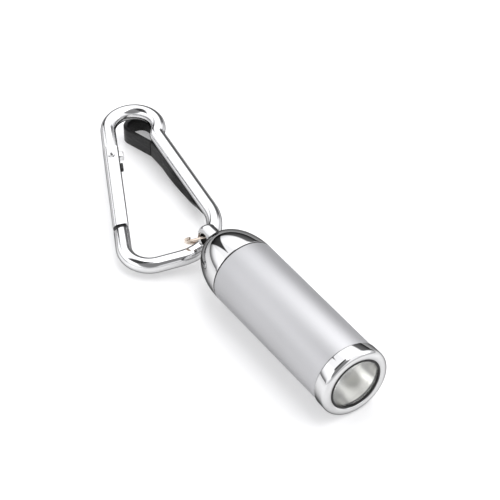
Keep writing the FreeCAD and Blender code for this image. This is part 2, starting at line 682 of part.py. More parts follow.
ring_points = []
ring_span = FULL_TURN * 2 - ring_open
for index in range(int(mm("ring_steps")) + 1):
    angle = ring_span * index / mm("ring_steps")
    spot = FreeCAD.Vector(ring_r, 0, ring_height_at(angle))
    ring_points.append(FreeCAD.Rotation(Z_AXIS, angle).multVec(spot))
ring_curve = Part.BSplineCurve()
ring_curve.interpolate(ring_points)
wire_corner = FreeCAD.Vector(ring_r - ring_wire / 2, 0, -(ring_layer + ring_thick) / 2)
wire_section = Part.makePlane(ring_wire, ring_thick, wire_corner, -Y_AXIS, X_AXIS)
ring_sweep = Part.BRepOffsetAPI.MakePipeShell(Part.Wire(ring_curve.toShape()))
ring_sweep.setBiNormalMode(Z_AXIS)
ring_sweep.add(wire_section.OuterWire)
ring_sweep.build()
ring_sweep.makeSolid()
split_ring = doc.addObject("Part::Feature", "split_ring")
split_ring.Shape = ring_sweep.shape()
split_ring.Placement = FreeCAD.Placement(
    ring_middle, FreeCAD.Rotation(Z_AXIS, ring_normal) * FreeCAD.Rotation(Z_AXIS, mm("ring_roll")))
part(split_ring, "split_ring")

# ---------------------------------------------------------------- strap and its rivet
# A narrow strap under the spine: a stitched eye that stands on edge below the head, and a
# tail that turns flat and narrows towards the rivet.
strap_w = mm("strap_width")
strap_t = mm("strap_thick")
neck = flat(clip_place.Base.x - mm("neck_back"), clip_place.Base.y + mm("neck_side"))
floor = clip_point(neck.x, neck.y) - bar_r - mm("strap_room") - strap_w
eye_r = mm("eye_width") / 2
eye_middle = neck + flat(eye_r - mm("eye_len"), mm("eye_lean"))


def teardrop(radius, point):
    """A teardrop face: a circle about eye_middle drawn out to a point."""
    touches = [tangent_touch(point, eye_middle, radius, side) for side in (-1, 1)]
    back = eye_middle + (eye_middle - point).normalize() * radius
    edges = [Part.LineSegment(point, touches[0]).toShape(),
             Part.Arc(touches[0], back, touches[1]).toShape(),
             Part.LineSegment(touches[1], point).toShape()]
    return Part.Face(Part.Wire(edges))


eye_axis = (neck - eye_middle).normalize()
eye_outer = teardrop(eye_r, neck + eye_axis * mm("eye_point"))
eye_inner = teardrop(eye_r - strap_t, neck - eye_axis * mm("eye_pinch"))
eye = eye_outer.cut(eye_inner).extrude(FreeCAD.Vector(0, 0, strap_w))
eye.translate(FreeCAD.Vector(0, 0, floor))

TAIL = [
    # along the spine from neck to rivet: share, width share, lean from flat, layers
    (0.00, 1.00, 90.0, 1.9), (0.22, 0.94, 80.0, 1.0), (0.45, 0.80, 55.0, 1.0),
    (0.68, 0.72, 34.0, 1.0), (0.82, 0.70, 12.0, 1.0), (0.92, 0.68, 0.0, 1.0),
    (1.00, 0.60, 0.0, 1.0),
]
LIFT_END = 0.92  # where the tail has come up to the spine
LIFT_POWER = 4  # how late it comes up


def strap_section(centre, heading, width, thickness, lean):
    """A rectangle across the strap: lean 90 stands on its edge, lean 0 lies flat."""
    angle = math.radians(lean)
    level = FreeCAD.Vector(-heading.y, heading.x, 0)
    wide = level * math.cos(angle) + Z_AXIS * math.sin(angle)
    thin = heading.cross(wide)
    corners = [centre + wide * (a * width / 2) + thin * (b * thickness / 2)
               for a, b in ((-1, -1), (1, -1), (1, 1), (-1, 1))]
    return Part.makePolygon(corners + corners[:1])


tail_start = neck + eye_axis * mm("tail_overlap")
tail_end = flat(rivet_x, rivet_y)
heading = (tail_end - tail_start).normalize()
rivet_under = strap_under + strap_t / 2
sections = []
for share, width_share, lean, layers in TAIL:
    width = strap_w * width_share
    thick = strap_t * layers
    centre = tail_start + (tail_end - tail_start) * share
    half = width / 2 * math.sin(math.radians(lean)) + thick / 2 * math.cos(math.radians(lean))
    resting = floor + half + mm("strap_gap") / 2
    centre.z = resting + (rivet_under - resting) * min(1.0, share / LIFT_END) ** LIFT_POWER
    sections.append(strap_section(centre, heading, width, thick, lean))
tail = Part.makeLoft(sections, True, False)
tab_r = mm("tab_radius")
tab = box(FreeCAD.Vector(-TOUCH * 100, -tab_r, -strap_t / 2), FreeCAD.Vector(tab_r, tab_r, strap_t / 2))
tab = tab.fuse(Part.makeCylinder(tab_r, strap_t, FreeCAD.Vector(tab_r, 0, -strap_t / 2)))
tab.rotate(FreeCAD.Vector(0, 0, 0), Z_AXIS, math.degrees(math.atan2(heading.y, heading.x)))
tab.translate(FreeCAD.Vector(tail_end.x, tail_end.y, rivet_under))
strap = doc.addObject("Part::Feature", "strap")
strap_solid = eye.fuse(tail).fuse(tab).cut(rivet_shank)
strap.Shape = strap_solid.removeSplitter()
part(strap, "strap")

rivet_cap = Part.makeCylinder(mm("rivet_head") / 2, mm("rivet_head_len"),
                              FreeCAD.Vector(rivet_x, rivet_y, strap_under - mm("rivet_head_len")))
strap_rivet = doc.addObject("Part::Feature", "strap_rivet")
strap_rivet.Shape = rivet_cap.fuse(rivet_shank).removeSplitter()
part(strap_rivet, "strap_rivet")

# ---------------------------------------------------------------- check and write
doc.recompute()
for thing in doc.Objects:
    if "Invalid" in thing.State or "Error" in thing.State:
        raise SystemExit("%s failed: %s" % (thing.Label, thing.State))
for piece in PARTS:
    if piece.Shape.isNull() or not piece.Shape.isValid() or not piece.Shape.Solids:
        raise SystemExit("%s has no valid solid" % piece.Label)
os.makedirs("parts", exist_ok=True)
for piece in PARTS:
    piece.Shape.exportStep("parts/%s.step" % piece.Label)
print("%d parts written" % len(PARTS))
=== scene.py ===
import json
import math

import bpy
from mathutils import Matrix, Vector


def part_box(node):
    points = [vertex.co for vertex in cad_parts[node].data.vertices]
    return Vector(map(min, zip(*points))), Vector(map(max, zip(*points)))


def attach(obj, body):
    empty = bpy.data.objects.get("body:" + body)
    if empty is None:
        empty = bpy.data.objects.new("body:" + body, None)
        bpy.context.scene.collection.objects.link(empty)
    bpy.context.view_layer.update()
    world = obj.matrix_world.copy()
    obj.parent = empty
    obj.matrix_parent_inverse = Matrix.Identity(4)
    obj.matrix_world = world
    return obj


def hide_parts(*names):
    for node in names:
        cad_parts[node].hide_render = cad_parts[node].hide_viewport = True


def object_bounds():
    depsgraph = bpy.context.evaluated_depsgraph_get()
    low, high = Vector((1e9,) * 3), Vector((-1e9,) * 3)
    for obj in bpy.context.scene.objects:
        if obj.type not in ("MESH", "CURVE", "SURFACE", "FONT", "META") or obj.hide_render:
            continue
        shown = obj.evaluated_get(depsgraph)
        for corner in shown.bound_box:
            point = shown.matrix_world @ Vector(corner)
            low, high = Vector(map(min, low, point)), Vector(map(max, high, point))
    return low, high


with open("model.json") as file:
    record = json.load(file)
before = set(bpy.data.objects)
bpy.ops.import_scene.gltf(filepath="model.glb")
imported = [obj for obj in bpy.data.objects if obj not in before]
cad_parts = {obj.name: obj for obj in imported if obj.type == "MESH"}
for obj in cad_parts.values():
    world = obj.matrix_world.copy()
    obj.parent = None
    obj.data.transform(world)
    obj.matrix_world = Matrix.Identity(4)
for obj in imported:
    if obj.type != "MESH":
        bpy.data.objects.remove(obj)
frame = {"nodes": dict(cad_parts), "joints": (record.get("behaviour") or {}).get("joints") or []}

size_of_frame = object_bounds()
bpy.ops.object.select_all(action="DESELECT")

# ---------------------------------------------------------------- camera
# A long lens looks down on the light from the lens side, over its right-hand edge, so that the
# barrel runs away from the viewer and the clip lies behind it.
mm = 0.001
toward_viewer = Vector((0.593, -0.411, 0.692)).normalized()
sideways = Vector((0.569, 0.822, 0.0)).normalized()
upright = toward_viewer.cross(sideways)
watched = Vector((-27.03, 0, 0)) * mm
viewing_distance = 585 * mm
viewpoint = watched + toward_viewer * viewing_distance
# the focal length, and how far the watched point lies off the middle, all against the width
frame_width = 500.0
focal_length = 2200.0
off_side = 44.4
off_down = 72.7
sensor_width = 36.0
aim = (toward_viewer * focal_length + sideways * off_side - upright * off_down).normalized()
aim_side = (sideways - aim * sideways.dot(aim)).normalized()
aim_up = aim.cross(aim_side)
camera_data = bpy.data.cameras.new("studio_camera")
camera_data.lens = focal_length * sensor_width / frame_width
camera_data.sensor_width = sensor_width
camera = bpy.data.objects.new("studio_camera", camera_data)
bpy.context.scene.collection.objects.link(camera)
camera.matrix_world = Matrix((
    (aim_side.x, aim_up.x, aim.x, viewpoint.x),
    (aim_side.y, aim_up.y, aim.y, viewpoint.y),
    (aim_side.z, aim_up.z, aim.z, viewpoint.z),
    (0, 0, 0, 1)))
bpy.context.scene.camera = camera
bpy.context.scene.view_settings.view_transform = "Standard"


# ---------------------------------------------------------------- floor, backdrop and light
# A sheet of pale glossy board under a light tent: large soft lamps overhead and behind, and a
# few dark cards that put the dark lines into the polished metal.
class Wire:
    """A number on its way between two nodes; arithmetic on it adds Math nodes."""

    def __init__(self, finish, socket):
        self.finish = finish
        self.socket = socket

    def math(self, operation, *others):
        return self.finish.node("ShaderNodeMath", {"operation": operation}, [self, *others])

    def __add__(self, other):
        return self.math("ADD", other)

    def __sub__(self, other):
        return self.math("SUBTRACT", other)

    def __mul__(self, other):
        return self.math("MULTIPLY", other)

    def __rsub__(self, other):
        return self.finish.node("ShaderNodeMath", {"operation": "SUBTRACT"}, [other, self])

    def __neg__(self):
        return self.math("MULTIPLY", -1.0)

    __radd__ = __add__
    __rmul__ = __mul__

    def within(self, low, high, soft):
        """1 between low and high, 0 outside, with soft ends."""
        return self.step(low - soft, low + soft) * (1.0 - self.step(high - soft, high + soft))

    def step(self, low, high):
        """0 below low, 1 above high, smooth between."""
        settings = {"interpolation_type": "SMOOTHSTEP"}
        return self.finish.node("ShaderNodeMapRange", settings,
                                {"Value": self, "From Min": low, "From Max": high})


class Finish:
    """One material: a Principled shader and the nodes that vary it."""

    def __init__(self, name, tree=None, **constants):
        if tree is None:
            self.material = bpy.data.materials.new(name)
            self.material.use_nodes = True
            tree = self.material.node_tree
            self.shader = tree.nodes["Principled BSDF"]
            for socket, value in constants.items():
                self.shader.inputs[socket.replace("_", " ")].default_value = value
        self.tree = tree

    def node(self, kind, settings=None, inputs=None, output=0):
        """Add a node, set it up, feed it, and hand back one of its outputs."""
        made = self.tree.nodes.new(kind)
        for key, value in (settings or {}).items():
            setattr(made, key, value)
        pairs = enumerate(inputs) if isinstance(inputs, list) else (inputs or {}).items()
        for key, value in pairs:
            if isinstance(value, Wire):
                self.tree.links.new(value.socket, made.inputs[key])
            else:
                made.inputs[key].default_value = value
        return Wire(self, made.outputs[output])

    def feed(self, socket, wire):
        self.tree.links.new(wire.socket, self.shader.inputs[socket])

    def place(self, scale=(1, 1, 1), turn=(0, 0, 0)):
        """Object coordinates, stretched and turned."""
        spot = self.node("ShaderNodeTexCoord", output="Object")
        return self.node("ShaderNodeMapping", None, {
            "Vector": spot, "Scale": scale, "Rotation": turn})

    def noise(self, vector, scale, detail=3.0, rough=0.55):
        return self.node("ShaderNodeTexNoise", None, {
            "Vector": vector, "Scale": scale, "Detail": detail, "Roughness": rough})

    def mix(self, share, first, second):
        """A colour between two colours."""
        mixed = self.tree.nodes.new("ShaderNodeMix")
        mixed.data_type = "RGBA"
        for socket, value in ((mixed.inputs[0], share), (mixed.inputs[6], first),
                              (mixed.inputs[7], second)):
            if isinstance(value, Wire):
                self.tree.links.new(value.socket, socket)
            else:
                socket.default_value = value
        return Wire(self, mixed.outputs[2])

    def bump(self, height, strength, distance, normal=None):
        inputs = {"Height": height, "Strength": strength, "Distance": distance}
        if normal is not None:
            inputs["Normal"] = normal
        return self.node("ShaderNodeBump", None, inputs)

    def on(self, *pieces):
        for piece in pieces:
            piece.data.materials.clear()
            piece.data.materials.append(self.material)


def grey(level, tint=(1, 1, 1)):
    return (level * tint[0], level * tint[1], level * tint[2], 1)


floor_size = 6.0
bpy.ops.mesh.primitive_plane_add(size=floor_size, location=(0, 0, size_of_frame[0][2]))
floor = bpy.context.object
floor.name = "floor"
board = Finish("pale_board", Base_Color=grey(0.72), Roughness=0.22, Specular_IOR_Level=0.35,
               Emission_Color=grey(1.0), Emission_Strength=0.30)
board.on(floor)

world = bpy.data.worlds.new("light_tent")
bpy.context.scene.world = world
world.use_nodes = True
tent = Finish("tent", tree=world.node_tree)
direction = tent.node("ShaderNodeTexCoord", output="Generated")
parts = tent.tree.nodes.new("ShaderNodeSeparateXYZ")
tent.tree.links.new(direction.socket, parts.inputs[0])
east, north, height = [Wire(tent, parts.outputs[axis]) for axis in "XYZ"]
# the turn about the barrel's axis, 0 at the back horizon, a quarter turn overhead; each sector
# is given as where it starts, where it ends and how soft its edges are
round_barrel = height.math("ARCTAN2", north)
panel_sector = (0.66, 1.60, 0.10)
side_sector = (2.36, 3.20, 0.10)
strip_sector = (1.60, 2.35, 0.04)
strip_reach = (-0.34, 0.14, 0.03)
room_sector = (0.02, 0.64, 0.06)
white_panel = round_barrel.within(*panel_sector) * (1.0 - east.step(0.1, 0.5))
side_panel = round_barrel.within(*side_sector) * (1.0 - east.step(0.3, 0.8))
# a black flag behind the tail, whose point lies over the barrel, and a strip over the bezel
flag_top = 0.74
flag_side = 0.32
flag_lean = 0.57
flag_spread = 0.32
flag_front = 0.57
drop = flag_top - height
across_flag = (north + flag_side - flag_lean * drop).math("ABSOLUTE")
dark_flag = (flag_spread * drop - across_flag).step(-0.01, 0.03)
dark_flag = dark_flag * (-east - flag_front).step(0.0, 0.03)
dark_strip = round_barrel.within(*strip_sector) * east.within(*strip_reach)
# the unlit studio behind the tent, low at the back, and the gap that the camera looks through
at_back = 1.0 - east.step(-0.35, -0.15)
dark_room = round_barrel.within(*room_sector) * at_back
facing = toward_viewer.x * east + toward_viewer.y * north + toward_viewer.z * height
dark_gap = facing.step(0.80, 0.90)
dark_rim = (1.0 - height.step(0.02, 0.20)) * at_back
low_level = 0.55
rise_to_top = 0.75
panel_gain = 0.28
side_gain = 0.35
level = (low_level + rise_to_top * height.step(0.0, 0.45)
         + panel_gain * white_panel + side_gain * side_panel)
for depth, dark in ((0.95, dark_flag), (0.95, dark_strip), (0.85, dark_room), (0.80, dark_gap),
                    (0.75, dark_rim)):
    level = level * (1.0 - depth * dark)
sky = world.node_tree.nodes["Background"]
sky_strength = 1.15
sky_blue = 1.02
sky_colour = tent.node("ShaderNodeCombineColor", None, [level, level, level * sky_blue])
world.node_tree.links.new(sky_colour.socket, sky.inputs["Color"])
sky.inputs["Strength"].default_value = sky_strength


def lamp(name, place, width, height, power):
    """A soft rectangular lamp at a place, facing the flashlight's tail end."""
    data = bpy.data.lights.new(name, "AREA")
    data.shape = "RECTANGLE"
    data.size = width
    data.size_y = height
    data.energy = power
    made = bpy.data.objects.new(name, data)
    made.location = place
    made.rotation_euler = (Vector(place) - lit_point).to_track_quat("Z", "Y").to_euler()
    bpy.context.scene.collection.objects.link(made)


lit_point = Vector((-0.06, 0.0, 0.0))
lamp("overhead", (-0.05, 0.25, 0.75), width=0.8, height=0.6, power=1.6)
lamp("right_side", (0.35, 0.65, 0.45), width=0.5, height=0.5, power=1.0)


# ---------------------------------------------------------------- barrel
# A plain aluminium tube, turned, bead-blasted and clear anodised to an even satin, with both
# end edges just broken.
same_place = 1e-6


def turned(name, profile, count=160):
    """Turn a profile of (x, radius) rings: each ring is pulled out of the last and resized."""
    x, radius = profile[0]
    bpy.ops.mesh.primitive_circle_add(vertices=count, radius=radius, location=(x, 0, 0),
                                      rotation=(0, math.pi / 2, 0))
    piece = bpy.context.object
    piece.name = name
    bpy.ops.object.transform_apply()
    bpy.ops.object.mode_set(mode="EDIT")
    bpy.ops.mesh.select_all(action="SELECT")
    for next_x, next_radius in profile[1:]:
        bpy.ops.mesh.extrude_edges_move(TRANSFORM_OT_translate={"value": (next_x - x, 0, 0)})
        share = next_radius / radius
        bpy.ops.transform.resize(value=(1, share, share), center_override=(next_x, 0, 0))
        x, radius = next_x, next_radius
    bpy.ops.mesh.select_all(action="SELECT")
    bpy.ops.mesh.remove_doubles(threshold=same_place)
    bpy.ops.mesh.fill_holes(sides=0)
    bpy.ops.mesh.normals_make_consistent(inside=False)
    bpy.ops.object.mode_set(mode="OBJECT")
    return piece


def only(piece):
    """Make a piece the one that operators act on."""
    bpy.ops.object.select_all(action="DESELECT")
    piece.select_set(True)
    bpy.context.view_layer.objects.active = piece


def soften(piece, width, segments=3, angle=30):
    """Break the sharp edges with a bevel and shade the rest smooth."""
    only(piece)
    if width:
        bevel = piece.modifiers.new("edge_break", "BEVEL")
        bevel.width = width
        bevel.segments = segments
        bevel.limit_method = "ANGLE"
        bevel.angle_limit = math.radians(angle)
        bpy.ops.object.modifier_apply(modifier=bevel.name)
    bpy.ops.object.shade_smooth_by_angle(angle=math.radians(angle))


barrel_low, barrel_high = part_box("barrel_tube")
barrel_r = barrel_high.y
barrel_wall = 1.0 * mm
mouth_wall = 0.8 * mm
mouth_deep = 8 * mm
bore_r = barrel_r - barrel_wall
mouth_r = barrel_r - mouth_wall
mouth_x = barrel_high.x - mouth_deep
barrel = turned("barrel", [
    (barrel_low.x, bore_r), (barrel_low.x, barrel_r), (barrel_high.x, barrel_r),
    (barrel_high.x, mouth_r), (mouth_x, mouth_r), (mouth_x, bore_r), (barrel_low.x, bore_r)])
soften(barrel, 0.2 * mm)

satin = Finish("satin_aluminium", Metallic=1.0, Specular_Tint=grey(0.25))
around = satin.place()
cloud = satin.noise(around, scale=60, detail=2)
grain = satin.noise(around, scale=5200, detail=2, rough=0.7)
satin.feed("Base Color", satin.mix(cloud, grey(0.525, (1, 1, 1.015)), grey(0.565, (1, 1, 1.02))))
satin.feed("Roughness", 0.50 + 0.06 * grain + 0.03 * cloud)
satin.feed("Normal", satin.bump(grain, strength=0.12, distance=0.02 * mm))
satin.on(barrel)
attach(barrel, "barrel")
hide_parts("barrel_tube")

# ---------------------------------------------------------------- domed tail cap
# A solid brass turning, plated bright: an egg-shaped dome behind a spigot that screws into the
# barrel, ending in a stub that is flattened and cross-drilled for the ring.
gasket_thick = 0.4 * mm
dome_x = barrel_low.x - gasket_thick
dome_len = 15.5 * mm
dome_steps = 28
spigot_len = 6.9 * mm
spigot_wall = 1.6 * mm
spigot_clearance = 0.06 * mm
spigot_r = bore_r - spigot_clearance
spigot_x = dome_x + spigot_len
dome_profile = [(spigot_x, spigot_r - spigot_wall), (spigot_x, spigot_r), (dome_x, spigot_r)]
stub_r = 3.6 * mm
dome_end_r = stub_r * 0.4
for number in range(dome_steps + 1):
    angle = math.pi / 2 * number / dome_steps
    dome_r = barrel_r * math.cos(angle)
    if dome_r > dome_end_r:
        dome_profile.append((dome_x - dome_len * math.sin(angle), dome_r))
cap = turned("tail_dome", dome_profile)
soften(cap, 0.12 * mm, segments=3, angle=40)

tip_x = barrel_low.x - 20.6 * mm
stub_len = 9 * mm
tip_round = 2.0 * mm
lug_half = 1.9 * mm
hole_from_tip = 2.9 * mm
hole_r = 1.85 * mm
bpy.ops.mesh.primitive_cylinder_add(vertices=96, radius=stub_r, depth=stub_len,
                                    location=(tip_x + stub_len / 2, 0, 0),
                                    rotation=(0, math.pi / 2, 0))
lug = bpy.context.object
lug.name = "tail_lug"
bpy.ops.object.transform_apply()


def pick(piece, mode, wanted):
    """Select the faces, edges or vertices whose middle passes a test."""
    bpy.ops.object.mode_set(mode="EDIT")
    bpy.ops.mesh.select_mode(type=mode)
    bpy.ops.mesh.select_all(action="DESELECT")
    bpy.ops.object.mode_set(mode="OBJECT")
    mesh = piece.data
    if mode == "FACE":
        for face in mesh.polygons:
            face.select = wanted(face.center, face.normal)
    elif mode == "EDGE":
        for edge in mesh.edges:
            ends = [mesh.vertices[index].co for index in edge.vertices]
            edge.select = wanted(*ends)
    else:
        for vertex in mesh.vertices:
            vertex.select = wanted(vertex.co)
    bpy.ops.object.mode_set(mode="EDIT")


def bisected(piece, point, normal):
    """Cut a closed piece flat and keep the side behind the normal."""
    only(piece)
    bpy.ops.object.mode_set(mode="EDIT")
    bpy.ops.mesh.select_all(action="SELECT")
    bpy.ops.mesh.bisect(plane_co=point, plane_no=normal, use_fill=True, clear_outer=True)
    bpy.ops.object.mode_set(mode="OBJECT")


only(lug)
pick(lug, "EDGE", lambda a, b: abs(a.x - tip_x) < same_place and abs(b.x - tip_x) < same_place)
bpy.ops.mesh.bevel(offset=tip_round, segments=10, affect="EDGES")
bpy.ops.object.mode_set(mode="OBJECT")
roll = math.radians(-6)
across_lug = Vector((0, math.cos(roll), math.sin(roll)))
for side in (-1, 1):
    bisected(lug, across_lug * side * lug_half, across_lug * side)
hole_middle = Vector((tip_x + hole_from_tip, 0, 0))
bpy.ops.mesh.primitive_cylinder_add(vertices=64, radius=hole_r, depth=stub_r * 4,
                                    location=hole_middle, rotation=(math.pi / 2 + roll, 0, 0))
drill = bpy.context.object


def carve(piece, cutter):
    """Take a cutter out of a piece and throw the cutter away."""
    only(piece)
    cut = piece.modifiers.new("carve", "BOOLEAN")
    cut.operation = "DIFFERENCE"
    cut.solver = "EXACT"
    cut.object = cutter
    bpy.ops.object.modifier_apply(modifier=cut.name)
    bpy.data.objects.remove(cutter)


carve(lug, drill)
soften(lug, 0.4 * mm, segments=4, angle=35)

chrome = Finish("bright_chrome", Metallic=1.0, Specular_Tint=grey(0.10))
here = chrome.place()
smear = chrome.noise(here, scale=180, detail=4)
chrome.feed("Base Color", chrome.mix(smear, grey(0.60), grey(0.66)))
chrome.feed("Roughness", 0.03 + 0.05 * smear.step(0.35, 0.8))
wave = chrome.noise(here, scale=420, detail=2)
chrome.feed("Normal", chrome.bump(wave, strength=0.05, distance=0.01 * mm))
chrome.on(cap, lug)
# painted shade: a near-black metal finish for the inside of the drilled hole
hole_shade = Finish("painted_shade_hole", Metallic=0.6)
hole_shade_noise = hole_shade.noise(hole_shade.place(), scale=900)
hole_shade.feed("Base Color", hole_shade.mix(hole_shade_noise, grey(0.010), grey(0.03)))
hole_shade.feed("Roughness", 0.35 + 0.1 * hole_shade_noise)
lug.data.materials.append(hole_shade.material)
# the wall of the hole and its broken edge get a near-black finish: painted shade, standing in for
# the shadow inside the hole
hole_edge_r = hole_r + 0.45 * mm
for face in lug.data.polygons:
    from_hole = face.center - hole_middle
    from_axis = from_hole - across_lug * from_hole.dot(across_lug)
    if from_axis.length < hole_edge_r and abs(face.normal.dot(across_lug)) < 0.9:
        face.material_index = 1
for piece in (cap, lug):
    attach(piece, "barrel")
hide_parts("tail_cap")

# ---------------------------------------------------------------- tail gasket
# A thin flat washer of black rubber, squeezed between the barrel's end and the dome as the tail
# cap is screwed home, so that it bulges a little over both.
washer_low, washer_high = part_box("tail_gasket")
washer_r = barrel_r - 0.03 * mm
bulge_back = 0.12 * mm
bulge_front = 0.16 * mm
washer_low.x -= bulge_back
washer_high.x += bulge_front
washer = turned("tail_washer", [
    (washer_low.x, spigot_r), (washer_low.x, washer_r), (washer_high.x, washer_r),
    (washer_high.x, spigot_r), (washer_low.x, spigot_r)])
soften(washer, 0.08 * mm)
rubber_and_seam_shade = Finish("black_rubber_and_seam_shade", Roughness=0.6)
bloom = rubber_and_seam_shade.noise(rubber_and_seam_shade.place(), scale=900)
rubber_and_seam_shade.feed("Base Color", rubber_and_seam_shade.mix(bloom, grey(0.010), grey(0.022)))
rubber_and_seam_shade.on(washer)
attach(washer, "barrel")
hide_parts("tail_gasket")

# ---------------------------------------------------------------- bezel
# The head ring, turned brass plated bright.  It carries the lens, and its threaded spigot runs
# in the barrel's mouth; a quarter turn switches the light.
bezel_low, bezel_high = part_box("bezel")
bezel_r = bezel_high.y
lip_x = bezel_high.x
head_len = 4.4 * mm
seam_x = lip_x - head_len
lip_bore = 7.7 * mm
bezel_bore = 7.9 * mm
thread_clearance = 0.08 * mm
thread_r = mouth_r - thread_clearance
lip_thick = 2.1 * mm
step_x = lip_x - lip_thick
lip_chamfer = 0.4 * mm
lip_edge_back = 0.1 * mm
lip_edge_out = 0.35 * mm
lip_round = 1.5 * mm
lip_drop = 1.7 * mm
bezel_profile = [(bezel_low.x, bezel_bore), (bezel_low.x, thread_r), (seam_x, thread_r),
                 (seam_x, bezel_r)]
round_steps = 8
for number in range(round_steps + 1):
    angle = math.pi / 2 * number / round_steps
    bezel_profile.append((lip_x - lip_round * (1 - math.sin(angle)),
                          bezel_r - lip_drop * (1 - math.cos(angle))))
bezel_profile += [(lip_x - lip_edge_back, lip_bore + lip_edge_out),
                  (lip_x - lip_chamfer, lip_bore), (step_x, lip_bore), (step_x, bezel_bore),
                  (bezel_low.x, bezel_bore)]
head_ring = turned("head_ring", bezel_profile)
soften(head_ring, 0.12 * mm, segments=3, angle=40)
chrome.on(head_ring)
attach(head_ring, "bezel")
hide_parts("bezel")

# ---------------------------------------------------------------- black ring in the head's gap
# A black ring that sits on the head ring's spigot, against its shoulder.  Its flange fills the gap
# to the barrel, less the room that the head needs to be screwed in.  It is painted shade: a black
# piece that stands in for the shadow in the seam between head and barrel.
screw_in_room = 0.22 * mm
gap_low = barrel_high.x + screw_in_room
gap_r = barrel_r - 0.04 * mm
sleeve_low = barrel_high.x - 1.0 * mm
sleeve_r = mouth_r - 0.03 * mm
sleeve_bore = thread_r - 0.2 * mm
seam_shadow_ring = turned("head_gap_shadow_ring", [
    (sleeve_low, sleeve_bore), (sleeve_low, sleeve_r), (gap_low, sleeve_r), (gap_low, gap_r),
    (seam_x, gap_r), (seam_x, sleeve_bore), (sleeve_low, sleeve_bore)])
soften(seam_shadow_ring, 0.05 * mm)
# painted shade: this ring's black stands in for the shadow in the seam
rubber_and_seam_shade.on(seam_shadow_ring)
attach(seam_shadow_ring, "bezel")

# ---------------------------------------------------------------- lens and its gasket
# A moulded clear lens with a low dome in front and a flange behind, held behind the bezel's lip
# by a black rubber ring.
lens_low, lens_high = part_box("lens")
crown = 0.65 * mm
crown_x = lens_high.x - crown
lens_r = 7.2 * mm
flange_r = 7.86 * mm
axis_r = 0.02 * mm
lens_profile = [(lens_low.x, flange_r), (step_x, flange_r), (step_x, lens_r), (crown_x, lens_r)]
crown_steps = 14
for number in range(1, crown_steps):
    angle = math.pi / 2 * number / crown_steps
    lens_profile.append((crown_x + crown * math.sin(angle), lens_r * math.cos(angle)))
lens_profile.append((lens_high.x, axis_r))
lens = turned("front_lens", lens_profile, count=128)
soften(lens, 0.0, segments=1, angle=35)
clear = Finish("clear_lens", Base_Color=grey(1.0), IOR=1.49, Transmission_Weight=1.0)
haze = clear.noise(clear.place(), scale=300, detail=3)
clear.feed("Roughness", 0.07 + 0.08 * haze)
clear.on(lens)
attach(lens, "bezel")
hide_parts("lens")

seal_low, seal_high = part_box("lens_gasket")
seal = turned("lens_seal", [
    (seal_low.x, lens_r), (seal_low.x, lip_bore), (seal_high.x, lip_bore), (seal_high.x, lens_r),
    (seal_low.x, lens_r)])
soften(seal, 0.1 * mm)
rubber_and_seam_shade.on(seal)
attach(seal, "bezel")
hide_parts("lens_gasket")

# ---------------------------------------------------------------- reflector
# A moulded bowl with a bright metal skin, open at the throat for the lamp.  It is carried by the
# lamp unit, behind the lens.
bowl_low, bowl_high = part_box("reflector")
bowl_r = bowl_high.y
wall = 0.6 * mm
throat = 3.0 * mm
bowl_profile = [(bowl_low.x, throat)]
bowl_steps = 12
# the inner face stops just short of the rim, and the outer face short of the flange
inner_share = 0.999
outer_share = 0.98
for number in range(1, bowl_steps + 1):
    share = number / bowl_steps
    bowl_profile.append((bowl_low.x + (bowl_high.x - bowl_low.x) * share ** 2 * inner_share,
                         throat + (bowl_r - wall - throat) * share))
bowl_profile += [(bowl_high.x, bowl_r), (bowl_high.x - wall, bowl_r)]
for number in range(bowl_steps, -1, -1):
    share = number / bowl_steps
    x_back = bowl_low.x + (bowl_high.x - wall - bowl_low.x) * share ** 2 * outer_share
    bowl_profile.append((x_back, min(throat + wall + (bowl_r - wall - throat) * share, bowl_r)))
bowl_profile.append((bowl_low.x, throat))
bowl = turned("reflector_bowl", bowl_profile, count=128)
soften(bowl, 0.0, segments=1, angle=40)
mirror = Finish("mirror_skin", Metallic=1.0)
ripple = mirror.noise(mirror.place(), scale=500, detail=2)
mirror.feed("Base Color", mirror.mix(ripple, grey(0.86, (1, 1, 0.97)), grey(0.92, (1, 1, 0.97))))
mirror.feed("Roughness", 0.16 + 0.10 * ripple)
mirror.on(bowl)
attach(bowl, "lamp")
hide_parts("reflector")

# ---------------------------------------------------------------- lamp
# A 5 mm lamp: a bullet of clear epoxy cast round its die, with a low flange at its foot.  It
# stands in the reflector's throat.
lamp_low, lamp_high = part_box("led_emitter")
bullet_r = 2.5 * mm
foot_r = lamp_high.z
foot_x = lamp_low.x + 1.0 * mm
bullet_profile = [(lamp_low.x, foot_r), (foot_x, foot_r), (foot_x, bullet_r),
                  (lamp_high.x - bullet_r, bullet_r)]
bullet_steps = 10
for number in range(1, bullet_steps):
    angle = math.pi / 2 * number / bullet_steps
    bullet_profile.append((lamp_high.x - bullet_r * (1 - math.sin(angle)),
                           bullet_r * math.cos(angle)))
bullet_profile.append((lamp_high.x, axis_r))
bullet = turned("lamp_bullet", bullet_profile, count=64)
soften(bullet, 0.0, segments=1, angle=35)
epoxy = Finish("clear_epoxy", Base_Color=grey(0.9, (1, 1, 0.9)), Roughness=0.12,
               Transmission_Weight=0.6, IOR=1.52)
epoxy.on(bullet)
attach(bullet, "lamp")
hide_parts("led_emitter")

